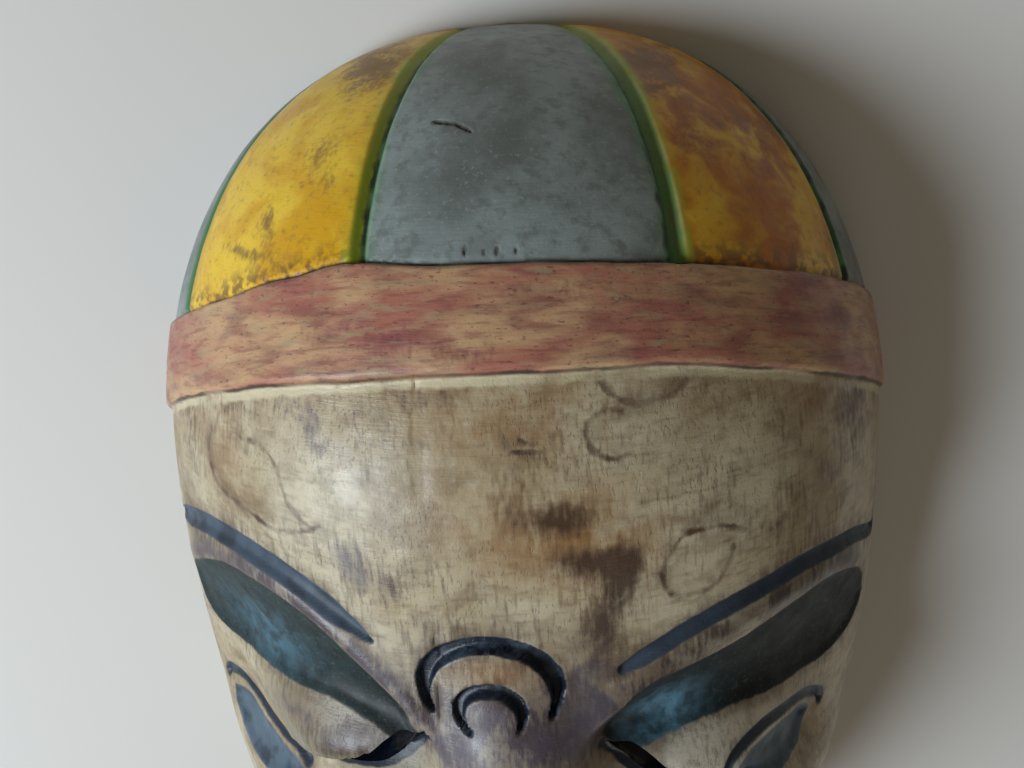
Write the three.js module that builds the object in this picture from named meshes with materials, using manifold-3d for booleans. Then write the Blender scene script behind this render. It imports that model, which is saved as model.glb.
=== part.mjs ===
// A carved wooden face mask with a ribbed skullcap, cut from one block and hollow behind.
// Sizes are millimetres. It lies on its flat rim: +X is the viewer's right, +Y the crown, +Z out of the face.
// Heights on the face are counted from its widest level, and the whole piece is moved up by head.lift at the end.

import * as THREE from 'three';
import Module from 'manifold-3d';

// The block that the face is carved on. The powers square off the oval: 2 is a plain ellipse.
const head = {
  halfWidth: 86,
  crownHeight: 107.5,
  crownPower: 2.35,
  chinDrop: 139.5,
  chinPower: 2.3,
  depth: 87,
  deepestAt: 17.5,
  crownDepthPower: 2.1,
  chinDepthPower: 3.3,
  lift: 16,
};

// The hollow behind the face leaves these walls at the rim and at the front.
const hollow = { rimWall: 11, frontWall: 13, pastRim: 20 };

// The cap and its band lie in a tilted plane, high in front and low at the sides.
const cap = {
  tilt: THREE.MathUtils.degToRad(23.5),
  upperEdge: 36.6,
  lowerEdge: 17.6,
  bandProud: 0.9,
  foreheadInset: 0.5,
  edgeSlope: 0.35,
};

// The grooves between the cap's gores fan out from a pole that lies just in front of the rim.
const gores = {
  poleDepth: 20.5,
  angles: [-1.03, -0.32, 0.45, 1.03],
  halfGroove: 1.9,
  grooveDepth: 1.5,
  steps: 16,
};

// The brows and eyes slope down a little towards the viewer's right.
const slant = 0.07;

// Each brow has a cut groove, a round ridge below it, and a broad scoop that sinks to the eyelid.
const brow = {
  grooveHeight: 12.2,
  grooveInnerBend: 0.0107,
  grooveOuterBend: 0.017,
  grooveFrom: 21,
  grooveTo: 79,
  halfGroove: 2.2,
  grooveDepth: 1.5,
  grooveSteps: 13,
  ridgeHeight: 8,
  ridgeInnerBend: 0.012,
  ridgeOuterBend: 0.02,
  ridgeProud: 1.2,
  ridgeHalf: 3.6,
  peakAt: 54,
};

const socket = {
  depth: 6,
  lowerEdge: -18,
  innerFrom: 12,
  innerTo: 19,
  outerFrom: 62,
  outerTo: 80,
  cheekFrom: -34,
  cheekTo: -50,
};

const eyelid = { x: 38, y: -27, halfWidth: 24, halfHeight: 11, proud: 5.5 };

const slit = {
  innerX: 17,
  innerY: -19.5,
  outerX: 44,
  drop: 14.5,
  bend: 1.2,
  halfHeight: 3.9,
  fullAt: 0.35,
  steps: 10,
  behind: 20,
  beyond: 130,
};

// A leaf-shaped mark lies under the outer end of each eye, with a groove cut along its upper edge.
const leaf = { halfLength: 13.5, halfWidth: 7, turn: -0.18, halfGroove: 1.3, depth: 1.3, steps: 12 };
const leaves = [
  { side: -1, x: 57, y: -36 },
  { side: 1, x: 53, y: -31.5 },
];

// Two arcs are cut one inside the other on the root of the nose.
const arcs = [
  { x: -3.6, y: -4.5, halfWidth: 12.3, height: 9.5, from: -0.45, to: 3.62, halfGroove: 1.9, depth: 1.8 },
  { x: -3.5, y: -8.2, halfWidth: 5.8, height: 4.4, from: -0.5, to: 4.04, halfGroove: 1.25, depth: 1.5 },
];
const arcSteps = 18;

const nose = {
  rootAt: 12,
  tipAt: -62,
  lipAt: -71,
  rootProud: 4,
  proud: 19,
  rootHalf: 11.5,
  tipHalf: 13,
  wingX: 14.5,
  wingY: -60,
  wingRadius: 8,
  wingProud: 8,
};

const mouth = {
  y: -89,
  halfWidth: 27,
  lipGap: 5.4,
  lipHalf: 5.2,
  upperProud: 5,
  lowerProud: 6,
  muzzleProud: 4,
  muzzleHalfWidth: 34,
  muzzleHalfHeight: 20,
  cutHalf: 1.3,
  cutDepth: 2.2,
  cutSteps: 14,
  cornerLift: 1.5,
};

const cheek = { x: 42, y: -60, halfWidth: 22, halfHeight: 24, proud: 4 };
const chin = { y: -117, halfWidth: 20, halfHeight: 13, proud: 6 };

// How finely the solid is drawn.
const mesh = { columns: 42, columnPower: 1.25, capRows: 9, faceRows: 26, jawRows: 26, faceEnd: -46, jawSweep: 1.4 };
const hollowMesh = { columns: 18, rows: 16 };

const blend = (from, to, t) => {
  const s = THREE.MathUtils.clamp((t - from) / (to - from), 0, 1);
  return s * s * (3 - 2 * s);
};

const bump = (across, along) => Math.exp(-across * across - along * along);

// The plain block: half width and depth at a height, both drawn in by an inset
function squaredOval(t, power) {
  return Math.pow(Math.max(0, 1 - Math.pow(Math.abs(t), power)), 1 / power);
}

function halfWidthAt(y, inset = 0) {
  const reach = (y > 0 ? head.crownHeight : head.chinDrop) - inset;
  return (head.halfWidth - inset) * squaredOval(y / reach, y > 0 ? head.crownPower : head.chinPower);
}

function depthAt(y, inset = 0, ends = inset) {
  const above = y > head.deepestAt;
  const reach = above ? head.crownHeight - head.deepestAt : head.chinDrop + head.deepestAt;
  const power = above ? head.crownDepthPower : head.chinDepthPower;
  return (head.depth - inset) * squaredOval((y - head.deepestAt) / (reach - ends), power);
}

// A point of the block at a height and a turn about the long axis: no turn is straight ahead
function blockPoint(y, turn) {
  return new THREE.Vector3(halfWidthAt(y) * Math.sin(turn), y, depthAt(y) * Math.cos(turn));
}

function blockNormal(point) {
  const step = 0.05;
  const { x, y, z } = point;
  const width = Math.max(halfWidthAt(y), 1);
  const depth = Math.max(depthAt(y), 1);
  const widthSlope = (halfWidthAt(y + step) - halfWidthAt(y - step)) / (2 * step);
  const depthSlope = (depthAt(y + step) - depthAt(y - step)) / (2 * step);
  const along = (x * x * widthSlope) / width ** 3 + (z * z * depthSlope) / depth ** 3;
  return new THREE.Vector3(x / width ** 2, -along, z / depth ** 2).normalize();
}

// The carving: how far the face stands out of the block, or sinks into it when negative
function browArch(x, peak, innerBend, outerBend) {
  const fromPeak = Math.abs(x) - brow.peakAt;
  return peak - (fromPeak > 0 ? outerBend : innerBend) * fromPeak ** 2;
}

const ridgeLine = (x) => browArch(x, brow.ridgeHeight, brow.ridgeInnerBend, brow.ridgeOuterBend);
const grooveLine = (x) => browArch(x, brow.grooveHeight, brow.grooveInnerBend, brow.grooveOuterBend);

function eyeCarving(x, y) {
  const out = Math.abs(x);
  const level = y + slant * x;
  const ridge = ridgeLine(x);
  const sides = blend(socket.innerFrom, socket.innerTo, out) * (1 - blend(socket.outerFrom, socket.outerTo, out));
  const fall = blend(0, ridge - socket.lowerEdge, ridge - level);
  const climb = blend(socket.cheekTo, socket.cheekFrom, level);
  const ridgeBump = brow.ridgeProud * bump(0, (level - ridge) / brow.ridgeHalf) * blend(8, 20, out);
  const lid = bump((out - eyelid.x) / eyelid.halfWidth, (level - eyelid.y) / eyelid.halfHeight);
  return ridgeBump - socket.depth * sides * fall * climb + eyelid.proud * lid * sides;
}

function noseCarving(x, y) {
  const down = blend(nose.rootAt, nose.tipAt, y);
  const under = 1 - blend(nose.tipAt, nose.lipAt, y);
  const height = nose.rootProud * blend(0, 0.35, down) + (nose.proud - nose.rootProud) * down ** 1.6;
  const half = nose.rootHalf + (nose.tipHalf - nose.rootHalf) * down;
  const wings = bump((Math.abs(x) - nose.wingX) / nose.wingRadius, (y - nose.wingY) / nose.wingRadius);
  return height * under * Math.exp(-(Math.abs(x / half) ** 2.3)) + nose.wingProud * wings * under;
}

function mouthCarving(x, y) {
  const across = x / mouth.halfWidth;
  const line = mouth.y + mouth.cornerLift * across * across;
  const gap = mouth.lipGap * Math.max(0, 1 - across * across);
  const upper = mouth.upperProud * bump(across ** 2, (y - line - gap) / mouth.lipHalf);
  const lower = mouth.lowerProud * bump(across ** 2 * 1.3, (y - line + gap) / mouth.lipHalf);
  const muzzle = mouth.muzzleProud * bump(x / mouth.muzzleHalfWidth, (y - mouth.y) / mouth.muzzleHalfHeight);
  return upper + lower + muzzle;
}

function carving(x, y) {
  const cheeks = cheek.proud * bump((Math.abs(x) - cheek.x) / cheek.halfWidth, (y - cheek.y) / cheek.halfHeight);
  const chinBump = chin.proud * bump(x / chin.halfWidth, (y - chin.y) / chin.halfHeight);
  return eyeCarving(x, y) + noseCarving(x, y) + mouthCarving(x, y) + cheeks + chinBump - cap.foreheadInset;
}

// Places on the cap: how far up the tilted axis a point is, and the height where a column meets a level
const levelOf = (y, z) => y * Math.cos(cap.tilt) - z * Math.sin(cap.tilt);

function solve(low, high, isBelow) {
  let [from, to] = [low, high];
  for (let i = 0; i < 40; i++) {
    const middle = (from + to) / 2;
    if (isBelow(middle)) from = middle;
    else to = middle;
  }
  return (from + to) / 2;
}

function heightAtLevel(turn, level) {
  return solve(-40, head.crownHeight, (y) => levelOf(y, depthAt(y) * Math.cos(turn)) < level);
}

// A closed body through rows of points, each row a closed loop, ended by a point at both ends.
// The quads of the two halves are split the opposite way, so that both sides of a face match.
function loft(rows, firstTip, lastTip) {
  const points = [firstTip, ...rows.flat(), lastTip];
  const around = rows[0].length;
  const triangles = [];
  for (let j = 0; j < around; j++) {
    const next = (j + 1) % around;
    triangles.push(0, 1 + j, 1 + next);
    for (let i = 0; i < rows.length - 1; i++) {
      const here = 1 + i * around;
      const below = here + around;
      if (2 * j < around - 1) triangles.push(here + j, below + j, below + next, here + j, below + next, here + next);
      else triangles.push(here + j, below + j, here + next, here + next, below + j, below + next);
    }
    const last = 1 + (rows.length - 1) * around;
    triangles.push(points.length - 1, last + next, last + j);
  }
  let volume = 0;
  for (let i = 0; i < triangles.length; i += 3) {
    const [a, b, c] = [0, 1, 2].map((k) => points[triangles[i + k]]);
    volume += a.dot(new THREE.Vector3().crossVectors(b, c));
  }
  if (volume < 0) triangles.reverse();
  const geometry = new THREE.BufferGeometry();
  geometry.setAttribute('position', new THREE.Float32BufferAttribute(points.flatMap((p) => p.toArray()), 3));
  geometry.setIndex(triangles);
  return geometry;
}

// The outside, from the crown down. The rows follow the band's edges, then level out on the face
function outerRows() {
  const turns = Array.from({ length: mesh.columns + 1 }, (_, j) => {
    const side = (2 * j) / mesh.columns - 1;
    return (Math.PI / 2) * Math.sign(side) * Math.abs(side) ** mesh.columnPower;
  });
  const row = (heightAt, proudAt) => turns.map((turn) => {
    const base = blockPoint(heightAt(turn), turn);
    return base.clone().addScaledVector(blockNormal(base), proudAt(base));
  });
  const atLevel = (level, proud) => row((turn) => heightAtLevel(turn, level), proud);
  const rows = [];
  for (let i = 1; i < mesh.capRows; i++) {
    const down = Math.cos((i / mesh.capRows) * (Math.PI / 2));
    const heightAt = (turn) => {
      const edge = heightAtLevel(turn, cap.upperEdge);
      return edge + (head.crownHeight - edge) * down;
    };
    rows.push(row(heightAt, () => 0));
  }
  rows.push(atLevel(cap.upperEdge, () => 0));
  rows.push(atLevel(cap.upperEdge - cap.edgeSlope, () => cap.bandProud));
  rows.push(atLevel((cap.upperEdge + cap.lowerEdge) / 2, () => cap.bandProud));
  rows.push(atLevel(cap.lowerEdge + cap.edgeSlope, () => cap.bandProud));
  const onFace = (base) => carving(base.x, base.y);
  for (let i = 0; i <= mesh.faceRows; i++) {
    const down = i / mesh.faceRows;
    const heightAt = (turn) => THREE.MathUtils.lerp(heightAtLevel(turn, cap.lowerEdge), mesh.faceEnd, down);
    rows.push(row(heightAt, onFace));
  }
  for (let i = 1; i < mesh.jawRows; i++) {
    const down = Math.sin((i / mesh.jawRows) * mesh.jawSweep) / Math.sin(mesh.jawSweep);
    rows.push(row(() => THREE.MathUtils.lerp(mesh.faceEnd, -head.chinDrop, down), onFace));
  }
  return rows;
}

// The hollow, a smaller and plainer block that is carried on past the rim
function hollowRows() {
  const sweep = Math.PI / 2 + THREE.MathUtils.degToRad(hollow.pastRim);
  const top = head.crownHeight - hollow.rimWall;
  const bottom = head.chinDrop - hollow.rimWall;
  return Array.from({ length: hollowMesh.rows - 1 }, (_, i) => {
    const along = Math.cos(((i + 1) / hollowMesh.rows) * Math.PI);
    const y = along > 0 ? top * along : bottom * along;
    return Array.from({ length: hollowMesh.columns + 1 }, (_, j) => {
      const turn = sweep * ((2 * j) / hollowMesh.columns - 1);
      const depth = depthAt(y, hollow.frontWall, hollow.rimWall);
      return new THREE.Vector3(halfWidthAt(y, hollow.rimWall) * Math.sin(turn), y, depth * Math.cos(turn));
    });
  });
}

// Cuts. A groove follows points on the surface, each with its normal and the way across the groove
function surfaceAt(x, y) {
  const across = Math.min(0.999, Math.abs(x) / halfWidthAt(y));
  const base = blockPoint(y, Math.asin(across) * Math.sign(x));
  const normal = blockNormal(base);
  return { point: base.clone().addScaledVector(normal, carving(x, y)), normal };
}

function groove(stations, depth) {
  const rise = 2;
  const rows = stations.map(({ point, normal, sideways, half }) => {
    const corner = (side, height) => point.clone().addScaledVector(sideways, side * half).addScaledVector(normal, height);
    return [corner(-1.6, rise), corner(-0.3, -depth), corner(0.3, -depth), corner(1.6, rise)];
  });
  const tip = ({ point, normal }) => point.clone().addScaledVector(normal, rise / 2);
  return loft(rows, tip(stations[0]), tip(stations[stations.length - 1]));
}

// A groove along a path of face places, given as t from 0 to 1
function faceGroove(pathAt, halfAt, depth, steps) {
  const places = Array.from({ length: steps + 1 }, (_, i) => {
    const t = i / steps;
    return { ...surfaceAt(...pathAt(t)), half: halfAt(t) };
  });
  const stations = places.map((place, i) => {
    const before = places[Math.max(0, i - 1)].point;
    const after = places[Math.min(steps, i + 1)].point;
    const sideways = after.clone().sub(before).cross(place.normal).normalize();
    return { ...place, sideways };
  });
  return groove(stations, depth);
}

function goreGroove(angle) {
  const placeAt = (level) => {
    const spot = (reach) => {
      const forward = gores.poleDepth + reach * Math.cos(angle);
      const y = level * Math.cos(cap.tilt) + forward * Math.sin(cap.tilt);
      const z = forward * Math.cos(cap.tilt) - level * Math.sin(cap.tilt);
      return new THREE.Vector3(reach * Math.sin(angle), y, z);
    };
    const inside = ({ x, y, z }) => (x / halfWidthAt(y)) ** 2 + (z / depthAt(y)) ** 2 < 1;
    return spot(solve(0, head.halfWidth * 1.3, (reach) => inside(spot(reach))));
  };
  const topLevel = solve(cap.upperEdge, head.crownHeight, (level) => placeAt(level).z > -4);
  const places = Array.from({ length: gores.steps + 1 }, (_, i) => {
    return placeAt(THREE.MathUtils.lerp(cap.upperEdge, topLevel, i / gores.steps));
  });
  const stations = places.map((point, i) => {
    const before = places[Math.max(0, i - 1)];
    const after = places[Math.min(gores.steps, i + 1)];
    const normal = blockNormal(point);
    const sideways = after.clone().sub(before).cross(normal).normalize();
    return { point, normal, sideways, half: gores.halfGroove };
  });
  return groove(stations, gores.grooveDepth);
}

function browGroove(side) {
  const pathAt = (t) => {
    const x = side * THREE.MathUtils.lerp(brow.grooveFrom, brow.grooveTo, t);
    return [x, grooveLine(x) - slant * x];
  };
  const halfAt = (t) => brow.halfGroove * (0.25 + 0.75 * Math.min(1, 5 * t, 4 * (1.12 - t)));
  return faceGroove(pathAt, halfAt, brow.grooveDepth, brow.grooveSteps);
}

function leafGroove(place) {
  const pathAt = (t) => {
    const along = leaf.halfLength * Math.cos(Math.PI * t);
    const across = leaf.halfWidth * Math.sin(Math.PI * t);
    const x = place.side * (place.x + along * Math.cos(leaf.turn) - across * Math.sin(leaf.turn));
    return [x, place.y + along * Math.sin(leaf.turn) + across * Math.cos(leaf.turn) - slant * x];
  };
  const halfAt = (t) => leaf.halfGroove * (0.4 + 0.6 * Math.min(1, 5 * t, 5 * (1 - t)));
  return faceGroove(pathAt, halfAt, leaf.depth, leaf.steps);
}

function arcGroove(arc) {
  const pathAt = (t) => {
    const angle = THREE.MathUtils.lerp(arc.from, arc.to, t);
    return [arc.x + arc.halfWidth * Math.cos(angle), arc.y + arc.height * Math.sin(angle)];
  };
  const halfAt = (t) => arc.halfGroove * (0.35 + 0.65 * Math.min(1, 5 * t, 5 * (1 - t)));
  return faceGroove(pathAt, halfAt, arc.depth, arcSteps);
}

function mouthGroove() {
  const pathAt = (t) => {
    const across = 2 * t - 1;
    return [mouth.halfWidth * across, mouth.y + mouth.cornerLift * across * across];
  };
  const halfAt = (t) => mouth.cutHalf * (0.4 + 0.6 * Math.min(1, 4 * t, 4 * (1 - t)));
  return faceGroove(pathAt, halfAt, mouth.cutDepth, mouth.cutSteps);
}

// An eye slit goes right through the wall, straight back
function slitCut(side) {
  const centre = (t) => slit.innerY - slit.drop * (1 - (1 - t) ** slit.bend);
  const half = (t) => slit.halfHeight * Math.min(1, Math.sqrt(t / slit.fullAt), Math.sqrt((1 - t) / (1 - slit.fullAt)));
  const places = Array.from({ length: slit.steps - 1 }, (_, i) => (i + 1) / slit.steps);
  const xAt = (t) => side * THREE.MathUtils.lerp(slit.innerX, slit.outerX, t);
  const edge = (t, way) => new THREE.Vector2(xAt(t), centre(t) + way * half(t) - slant * xAt(t));
  const outline = [
    edge(0, 0),
    ...places.map((t) => edge(t, 1)),
    edge(1, 0),
    ...places.map((t) => edge(1 - t, -1)),
  ];
  const middle = edge(slit.fullAt, 0);
  const ring = (z) => outline.map(({ x, y }) => new THREE.Vector3(x, y, z));
  const tip = (z) => new THREE.Vector3(middle.x, middle.y, z);
  return loft([ring(slit.behind), ring(slit.beyond)], tip(slit.behind), tip(slit.beyond));
}

// Joining and cutting
const wasm = await Module();
wasm.setup();

function toSolid(geometry) {
  const vertProperties = new Float32Array(geometry.attributes.position.array);
  const triVerts = new Uint32Array(geometry.index.array);
  return new wasm.Manifold(new wasm.Mesh({ numProp: 3, vertProperties, triVerts }));
}

function toGeometry(solid) {
  const { vertProperties, triVerts } = solid.getMesh();
  const geometry = new THREE.BufferGeometry();
  geometry.setAttribute('position', new THREE.BufferAttribute(vertProperties, 3));
  geometry.setIndex(new THREE.BufferAttribute(triVerts, 1));
  return geometry;
}

function maskGeometry() {
  const crownTip = new THREE.Vector3(0, head.crownHeight, 0);
  const chinTip = new THREE.Vector3(0, -head.chinDrop, 0);
  const inwards = new THREE.Vector3(0, hollow.rimWall, 0);
  const hollowGeometry = loft(hollowRows(), crownTip.clone().sub(inwards), chinTip.clone().add(inwards));
  const cuts = [
    hollowGeometry,
    ...gores.angles.map(goreGroove),
    ...arcs.map(arcGroove),
    ...leaves.map(leafGroove),
    ...[-1, 1].flatMap((side) => [browGroove(side), slitCut(side)]),
    mouthGroove(),
  ];
  let solid = toSolid(loft(outerRows(), crownTip, chinTip));
  for (const cut of cuts) solid = solid.subtract(toSolid(cut));
  return toGeometry(solid);
}

const wood = new THREE.MeshStandardMaterial({ color: 0xb8a47e, roughness: 0.5, metalness: 0 });
const mask = new THREE.Mesh(maskGeometry(), wood);
mask.name = 'mask';
mask.position.y = head.lift;

const model = new THREE.Group();
model.add(mask);

export default model;
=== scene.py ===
import math

import bpy
import numpy as np
from mathutils import Vector, Matrix, noise


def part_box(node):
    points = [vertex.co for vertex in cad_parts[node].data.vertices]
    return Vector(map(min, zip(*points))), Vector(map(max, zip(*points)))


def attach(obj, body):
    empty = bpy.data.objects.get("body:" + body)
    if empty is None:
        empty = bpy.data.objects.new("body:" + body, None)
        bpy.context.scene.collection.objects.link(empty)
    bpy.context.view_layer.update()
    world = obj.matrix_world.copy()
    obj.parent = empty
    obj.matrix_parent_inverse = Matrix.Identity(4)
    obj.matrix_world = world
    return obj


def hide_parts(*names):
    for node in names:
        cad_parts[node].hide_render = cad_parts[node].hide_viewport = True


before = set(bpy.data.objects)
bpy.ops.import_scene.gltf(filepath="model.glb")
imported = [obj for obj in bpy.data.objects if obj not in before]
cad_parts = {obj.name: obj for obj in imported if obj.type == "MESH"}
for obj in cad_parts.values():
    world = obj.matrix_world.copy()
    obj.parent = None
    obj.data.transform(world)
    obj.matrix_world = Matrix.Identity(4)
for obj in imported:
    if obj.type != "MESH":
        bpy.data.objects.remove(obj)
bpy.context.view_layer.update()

mm = 0.001   # the carving below is worked out in millimetres and turned to metres at the end

# A painted wooden face mask that lies on its flat rim. Heights on the face are counted from its widest level.
maskLow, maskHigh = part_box("mask")
head = {
    "lift": 16, "halfWidth": 86, "crownPower": 2.35, "chinPower": 2.3,
    "depth": 87, "deepestAt": 17.5, "crownDepthPower": 2.1, "chinDepthPower": 3.3,
}
head["crownHeight"] = maskHigh.y / mm - head["lift"]
head["chinDrop"] = head["lift"] - maskLow.y / mm


def blend(start, end, t):
    s = np.clip((t - start) / (end - start), 0, 1)
    return s * s * (3 - 2 * s)


def bump(across, along=0):
    return np.exp(-across * across - along * along)


def mound(form, across, up):
    return bump((across - form["x"]) / form["halfWidth"], (up - form["y"]) / form["halfHeight"])


def squaredOval(t, power):
    return np.maximum(0, 1 - np.abs(t) ** power) ** (1 / power)


def halfWidthAt(y, inset=0):
    reach = np.where(y > 0, head["crownHeight"], head["chinDrop"]) - inset
    power = np.where(y > 0, head["crownPower"], head["chinPower"])
    return (head["halfWidth"] - inset) * squaredOval(y / reach, power)


def depthAt(y, inset=0, ends=None):
    ends = inset if ends is None else ends
    above = y > head["deepestAt"]
    reach = np.where(above, head["crownHeight"] - head["deepestAt"], head["chinDrop"] + head["deepestAt"])
    power = np.where(above, head["crownDepthPower"], head["chinDepthPower"])
    return (head["depth"] - inset) * squaredOval((y - head["deepestAt"]) / (reach - ends), power)


def blockPoint(y, turn):
    return np.stack([halfWidthAt(y) * np.sin(turn), y, depthAt(y) * np.cos(turn)], axis=-1)


def blockNormal(point):
    step = 0.05
    x, y, z = point[..., 0], point[..., 1], point[..., 2]
    width = np.maximum(halfWidthAt(y), 1)
    depth = np.maximum(depthAt(y), 1)
    widthSlope = (halfWidthAt(y + step) - halfWidthAt(y - step)) / (2 * step)
    depthSlope = (depthAt(y + step) - depthAt(y - step)) / (2 * step)
    along = x * x * widthSlope / width ** 3 + z * z * depthSlope / depth ** 3
    normal = np.stack([x / width ** 2, -along, z / depth ** 2], axis=-1)
    length = np.linalg.norm(normal, axis=-1, keepdims=True)
    return normal / np.maximum(length, 1e-9)


def placeOnBlock(points):
    y = np.clip(points[:, 1], -head["chinDrop"], head["crownHeight"])
    across = points[:, 0] / np.maximum(halfWidthAt(y), 1)
    return y, np.arctan2(across, points[:, 2] / np.maximum(depthAt(y), 1))


# The place on the plain block that lies straight under each point
def footOnBlock(points):
    y, turn = placeOnBlock(points)
    for _ in range(10):
        base = blockPoint(y, turn)
        normal = blockNormal(base)
        gap = points - base
        slide = gap - (gap * normal).sum(axis=1, keepdims=True) * normal
        y, turn = placeOnBlock(base + 0.8 * slide)   # a shorter step settles near the rim
    base = blockPoint(y, turn)
    return base, ((points - base) * blockNormal(base)).sum(axis=1)


def onBlock(x, y):
    across = np.clip(np.abs(x) / halfWidthAt(y), 0, 0.999)
    return blockPoint(y, np.arcsin(across) * np.sign(x))


# How far each point is from a line drawn on the block, and how far along the line that is, from 0 to 1
def fromLine(base, x, y, near=12):
    x, y = np.asarray(x, float), np.asarray(y, float)
    line = onBlock(x, y)
    distance = np.full(len(base), 99.0)
    share = np.zeros(len(base))
    low, high = line.min(axis=0) - near, line.max(axis=0) + near
    picked = np.flatnonzero(((base > low) & (base < high)).all(axis=1))
    spots = base[picked]
    best = np.full(len(picked), 99.0)
    bestShare = np.zeros(len(picked))
    for i in range(len(line) - 1):
        start, step = line[i], line[i + 1] - line[i]
        t = np.clip((spots - start) @ step / max(step @ step, 1e-9), 0, 1)
        away = np.linalg.norm(spots - start - t[:, None] * step, axis=1)
        closer = away < best
        best[closer] = away[closer]
        bestShare[closer] = (i + t[closer]) / (len(line) - 1)
    distance[picked] = best
    share[picked] = bestShare
    return distance, share


# Seen from the front, which points lie inside a closed outline
def insideOutline(base, x, y):
    inside = np.zeros(len(base), bool)
    for x0, y0, x1, y1 in zip(x, y, np.roll(x, -1), np.roll(y, -1)):
        crosses = (y0 > base[:, 1]) != (y1 > base[:, 1])
        reach = x0 + (x1 - x0) * (base[:, 1] - y0) / (y1 - y0 if y1 != y0 else 1)
        inside ^= crosses & (base[:, 0] < reach)
    return inside & (base[:, 2] > 0)


# The distance from the edge of a patch, below zero inside it
def fromPatch(base, x, y):
    away, _ = fromLine(base, np.append(x, x[0]), np.append(y, y[0]))
    return np.where(insideOutline(base, x, y), -away, away)


slant = 0.07   # the eyes lie on a slight slope, higher on the viewer's left


# A smooth line through a few places: how far out from the middle and how far up the sloping face
def drawn(places, side=1, slope=slant, steps=6):
    spots = np.array(places, float)
    ends = np.concatenate([[2 * spots[0] - spots[1]], spots, [2 * spots[-1] - spots[-2]]])
    t = np.linspace(0, 1, steps, endpoint=False)[:, None]
    parts = []
    for a, b, c, d in zip(ends, ends[1:], ends[2:], ends[3:]):
        second, third = 2 * a - 5 * b + 4 * c - d, 3 * b - a - 3 * c + d
        parts.append(0.5 * (2 * b + (c - a) * t + second * t ** 2 + third * t ** 3))
    line = np.concatenate(parts + [spots[-1:]])
    return side * line[:, 0], line[:, 1] - slope * side * line[:, 0]


# The same for a patch drawn as an upper and a lower line
def fromDrawnPatch(base, one):
    upper, lower = drawn(one["upper"], one["side"]), drawn(one["lower"], one["side"])
    return fromPatch(base, np.append(upper[0], lower[0]), np.append(upper[1], lower[1]))


# Cap: four grooves fan out from a pole just in front of the rim, above a band in a tilted plane
cap = {
    "tilt": math.radians(23.5), "upperEdge": 36.6, "lowerEdge": 17.6, "bandProud": 0.9, "foreheadInset": 0.5,
    "edgeSlope": 0.45, "edgeWave": 0.35, "edgeCut": 0.45,
    "topDrop": 1.1, "topRise": 2.0, "topRiseAt": -24, "topRiseHalf": 10, "topLeftDrop": 1.8,
    "footDrop": 0.4, "footRise": 1.0, "footRiseAt": 33, "footRiseHalf": 16, "footSideDrop": 1.4,
    "poleDepth": 20.5, "grooveTurns": [-1.03, -0.32, 0.45, 1.09], "halfGroove": 1.8, "grooveDepth": 1.5,
    "shoulder": 0.5, "shoulderReach": 5, "lowest": -5,
}


def capMarks(base):
    x, y, z = base[:, 0], base[:, 1], base[:, 2]
    tilt = cap["tilt"]
    level = y * math.cos(tilt) - z * math.sin(tilt)
    forward = y * math.sin(tilt) + z * math.cos(tilt) - cap["poleDepth"]
    turn = np.arctan2(x, forward)
    reach = np.hypot(x, forward)
    sides = [reach * np.sin(turn - angle) for angle in cap["grooveTurns"]]
    groove = np.full(len(base), 99.0)
    for angle, side in zip(cap["grooveTurns"], sides):
        ahead = np.cos(turn - angle) > 0
        groove = np.where(ahead & (np.abs(side) < groove), np.abs(side), groove)
    first, second, third, fourth = sides
    yellow = np.maximum(np.minimum(first, -second), np.minimum(third, -fourth))
    top = cap["upperEdge"] - cap["topDrop"]
    top = top + cap["topRise"] * bump((x - cap["topRiseAt"]) / cap["topRiseHalf"])
    top = top - cap["topLeftDrop"] * blend(-38, -62, x)
    foot = cap["lowerEdge"] - cap["footDrop"]
    foot = foot + cap["footRise"] * bump((x - cap["footRiseAt"]) / cap["footRiseHalf"])
    foot = foot - cap["footSideDrop"] * (np.abs(x) / 75) ** 4
    return {"bandTop": level - top, "bandFoot": level - foot, "goreGroove": groove,
            "yellowGore": np.where(forward > cap["lowest"], yellow, -20)}


# Eye slits and the dark line that is painted along them
slit = {
    "innerX": 17, "innerY": -19.5, "outerX": 44, "drop": 14.5, "bend": 1.2, "halfHeight": 3.9, "fullAt": 0.35,
    "lineTo": 1.16, "lidCover": 0.7, "slenderTo": 0.22,
    "cutFrom": 20.0, "cutLength": 110,
}


def slitCentre(t):
    return slit["innerY"] - slit["drop"] * (1 - np.sign(1 - t) * np.abs(1 - t) ** slit["bend"])


def slitOutline(side, count=22):
    t = np.linspace(0, 1, count)
    opening, closing = np.sqrt(t / slit["fullAt"]), np.sqrt((1 - t) / (1 - slit["fullAt"]))
    half = slit["halfHeight"] * np.minimum(opening, closing)
    half = np.minimum(half, slit["halfHeight"]) * blend(-0.05, slit["slenderTo"], t)
    x = side * (slit["innerX"] + (slit["outerX"] - slit["innerX"]) * t)
    upper = slitCentre(t) + half * (1 - slit["lidCover"] * blend(0.15, 0.5, t)) - slant * x
    lower = slitCentre(t) - half - slant * x
    return np.concatenate([x, x[-2:0:-1]]), np.concatenate([upper, lower[-2:0:-1]])


def slitPaint(base):
    nearest = np.full(len(base), 99.0)
    for side in (-1, 1):
        x, y = slitOutline(side)
        half = len(x) // 2
        away, _ = fromLine(base, np.append(x[half:], x[0]), np.append(y[half:], y[0]))
        tail = np.linspace(0.9, slit["lineTo"], 6)
        tailX = side * (slit["innerX"] + (slit["outerX"] - slit["innerX"]) * tail)
        tailAway, _ = fromLine(base, tailX, slitCentre(tail) - slant * tailX)
        nearest = np.minimum(nearest, np.minimum(away, tailAway))
    return nearest


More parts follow.
